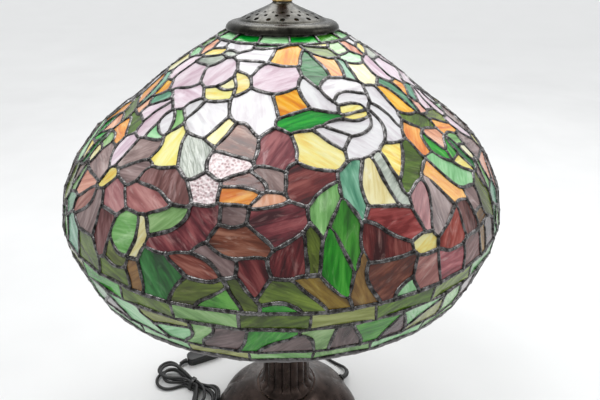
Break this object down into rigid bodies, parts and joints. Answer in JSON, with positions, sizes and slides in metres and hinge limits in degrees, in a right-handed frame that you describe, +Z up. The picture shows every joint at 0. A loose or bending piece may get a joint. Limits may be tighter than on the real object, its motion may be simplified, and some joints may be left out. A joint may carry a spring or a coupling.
{
  "type": "table lamp",
  "caption": "Leaded-glass table lamp: a domed flower shade under a vented cap and finial on a reeded cast base, with lamp holders, in-line rocker switch, tied cord and plug.",
  "frame": {"origin": "centre of the felt pad's underside, on the table", "axes": "+Z up along the lamp's axis; +Y towards the back, where the lead comes out; the lamp holders splay along X"},
  "size_m": [0.4572, 0.4572, 0.6046],
  "materials": {
    "bronze": "dark reddish bronze patina, satin",
    "cap_bronze": "dark antique bronze, worn satin",
    "brass": "satin lacquered",
    "copper": "red-brown antique, polished",
    "steel": "zinc plated",
    "iron": "raw",
    "felt": "wool felt",
    "solder": "dark patinated solder, lumpy, part polished",
    "green_glass": "streaky opalescent green",
    "wave_glass": "streaky opalescent sage and dull mauve",
    "flower_glass": "streaky opalescent, many colours",
    "frosted_glass": "frosted white",
    "screw_shell": "rolled thread",
    "black_plastic": "satin moulded",
    "cord": "round PVC flex"
  },
  "bodies": {
    "base": {"felt_pad": "felt", "bottom_plate": "steel", "foot_casting": "bronze", "base_weight": "iron", "bottom_washer": "steel", "bottom_nut": "steel", "column_casting": "bronze", "column_collar": "bronze", "neck_tube": "brass", "threaded_rod": "steel", "cluster_body": "brass", "riser_tube": "brass", "seat_nut": "brass", "seat_washer": "brass", "socket_nipple_left": "brass", "socket_nipple_right": "brass", "socket_shell_left": "brass", "socket_shell_right": "brass", "socket_contact_left": "brass", "socket_contact_right": "brass", "cord_grommet": "black_plastic", "strain_relief": "black_plastic", "inner_lead": "cord", "base_lead": "cord", "switch_lead": "cord", "tail_lead": "cord", "cord_hank": "cord", "cord_tie": "black_plastic", "switch_lower_shell": "black_plastic", "switch_upper_shell": "black_plastic", "switch_screw_left": "steel", "switch_screw_right": "steel", "switch_contact_left": "brass", "switch_contact_right": "brass", "plug_body": "black_plastic", "plug_pin_left": "steel", "plug_pin_right": "steel"},
    "shade": {"shade_rim_row": "green_glass", "shade_wave_belt": "wave_glass", "shade_upper_belt": "green_glass", "shade_lower_flowers": "flower_glass", "shade_middle_flowers": "flower_glass", "shade_upper_flowers": "flower_glass", "shade_top_row": "green_glass", "shade_rim_wire": "solder", "shade_top_ring": "brass", "shade_spider": "brass"},
    "cap": {"heat_cap": "cap_bronze", "finial_washer": "brass"},
    "finial": {"finial": "copper"},
    "bulb_left": {"bulb_glass_left": "frosted_glass", "bulb_base_left": "screw_shell"},
    "bulb_right": {"bulb_glass_right": "frosted_glass", "bulb_base_right": "screw_shell"},
    "rocker": {"switch_rocker": "black_plastic"}
  },
  "joints": [
    {"name": "shade_turn", "type": "hinge", "parent": "base", "child": "shade", "pos_m": [0, 0, 0.535], "axis": [0, 0, 1], "continuous": true},
    {"name": "cap_lift", "type": "slide", "parent": "shade", "child": "cap", "axis": [0, 0, 1], "range_m": [0, 0.06]},
    {"name": "finial_turn", "type": "hinge", "parent": "cap", "child": "finial", "pos_m": [0, 0, 0.57], "axis": [0, 0, 1], "continuous": true},
    {"name": "bulb_left_turn", "type": "hinge", "parent": "base", "child": "bulb_left", "pos_m": [-0.06062, 0, 0.385], "axis": [-0.866, 0, 0.5], "continuous": true},
    {"name": "bulb_right_turn", "type": "hinge", "parent": "base", "child": "bulb_right", "pos_m": [0.06062, 0, 0.385], "axis": [0.866, 0, 0.5], "continuous": true},
    {"name": "switch_rock", "type": "hinge", "parent": "base", "child": "rocker", "pos_m": [-0.136, 0.114, 0.0095], "axis": [0.3987, -0.9171, 0], "range_deg": [0, 14]}
  ]
}
